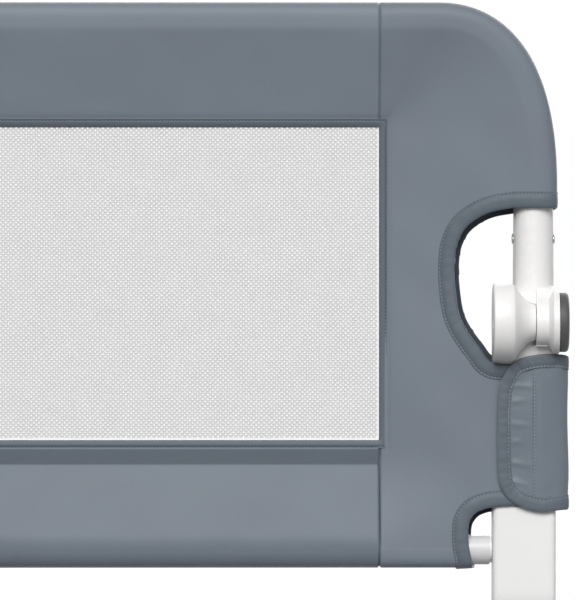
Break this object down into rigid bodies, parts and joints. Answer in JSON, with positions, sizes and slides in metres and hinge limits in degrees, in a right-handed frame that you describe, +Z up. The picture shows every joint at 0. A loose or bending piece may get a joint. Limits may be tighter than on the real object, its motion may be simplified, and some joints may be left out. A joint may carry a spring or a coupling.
{
  "type": "folding bed guard rail",
  "caption": "Bed guard rail of padded cloth and net on a tube frame that hinges down to the outside, on flat steel legs that slide under the mattress.",
  "frame": {"origin": "on the surface that the pads stand on, below the centre of the bounding box", "axes": "+X along the rail, -Y to the room side, +Y over the mattress, +Z up"},
  "size_m": [1.0362, 0.487, 0.49],
  "materials": {
    "cloth": "plain woven polyester with a slight sheen",
    "net": "fine knitted net",
    "strip": "hook and loop tape",
    "white_steel": "white powder coat",
    "white_plastic": "moulded, semi-gloss",
    "dark_plastic": "moulded, fine grain",
    "zinc_steel": "zinc plated",
    "pad_rubber": "matt"
  },
  "bodies": {
    "base": {"leg_right": "white_steel", "leg_left": "white_steel", "post_screw_right": "zinc_steel", "post_screw_left": "zinc_steel", "rear_connector_right": "white_plastic", "rear_connector_left": "white_plastic", "rear_bar": "white_steel", "front_pad_right": "pad_rubber", "front_pad_left": "pad_rubber", "rear_pad_right": "pad_rubber", "rear_pad_left": "pad_rubber", "lower_bar": "white_steel", "bar_spigot_right": "white_plastic", "bar_spigot_left": "white_plastic", "bar_bolt_right": "zinc_steel", "bar_bolt_left": "zinc_steel", "hinge_housing_right": "white_plastic", "hinge_housing_left": "white_plastic", "pivot_bolt_right": "zinc_steel", "pivot_bolt_left": "zinc_steel", "pivot_nut_right": "zinc_steel", "pivot_nut_left": "zinc_steel", "lock_spring_right": "zinc_steel", "lock_spring_left": "zinc_steel", "cover_bottom": "cloth", "cover_end_lower_right": "cloth", "cover_end_lower_left": "cloth", "window_lower": "net", "post_flap_right": "cloth", "post_flap_left": "cloth", "loop_strip_right": "strip", "loop_strip_left": "strip", "hook_strip_right": "strip", "hook_strip_left": "strip"},
    "upper_frame": {"hinge_socket_right": "white_plastic", "hinge_socket_left": "white_plastic", "socket_rivet_right": "zinc_steel", "socket_rivet_left": "zinc_steel", "corner_tube_right": "white_steel", "corner_tube_left": "white_steel", "top_tube": "white_steel", "snap_spring_right": "zinc_steel", "snap_spring_left": "zinc_steel", "cover_top": "cloth", "cover_end_upper_right": "cloth", "cover_end_upper_left": "cloth", "window_upper": "net"},
    "lock_right": {"lock_gear_right": "dark_plastic", "lock_button_right": "dark_plastic"},
    "lock_left": {"lock_gear_left": "dark_plastic", "lock_button_left": "dark_plastic"},
    "snap_right": {"snap_button_right": "zinc_steel"},
    "snap_left": {"snap_button_left": "zinc_steel"}
  },
  "joints": [
    {"name": "rail_swing", "type": "hinge", "parent": "base", "child": "upper_frame", "pos_m": [0, -0.2145, 0.25228], "axis": [1, 0, 0], "range_deg": [0, 180]},
    {"name": "lock_press_right", "type": "slide", "parent": "upper_frame", "child": "lock_right", "axis": [-1, 0, 0], "range_m": [0, 0.0033], "stiffness_N_per_m": 900, "springref_m": -0.004, "deforming": ["lock_spring_right"]},
    {"name": "lock_press_left", "type": "slide", "parent": "upper_frame", "child": "lock_left", "axis": [1, 0, 0], "range_m": [0, 0.0033], "stiffness_N_per_m": 900, "springref_m": -0.004, "deforming": ["lock_spring_left"]},
    {"name": "snap_press_right", "type": "slide", "parent": "upper_frame", "child": "snap_right", "axis": [0, 0, 1], "range_m": [0, 0.0038], "stiffness_N_per_m": 1200, "springref_m": -0.003, "deforming": ["snap_spring_right"]},
    {"name": "snap_press_left", "type": "slide", "parent": "upper_frame", "child": "snap_left", "axis": [0, 0, 1], "range_m": [0, 0.0038], "stiffness_N_per_m": 1200, "springref_m": -0.003, "deforming": ["snap_spring_left"]}
  ]
}
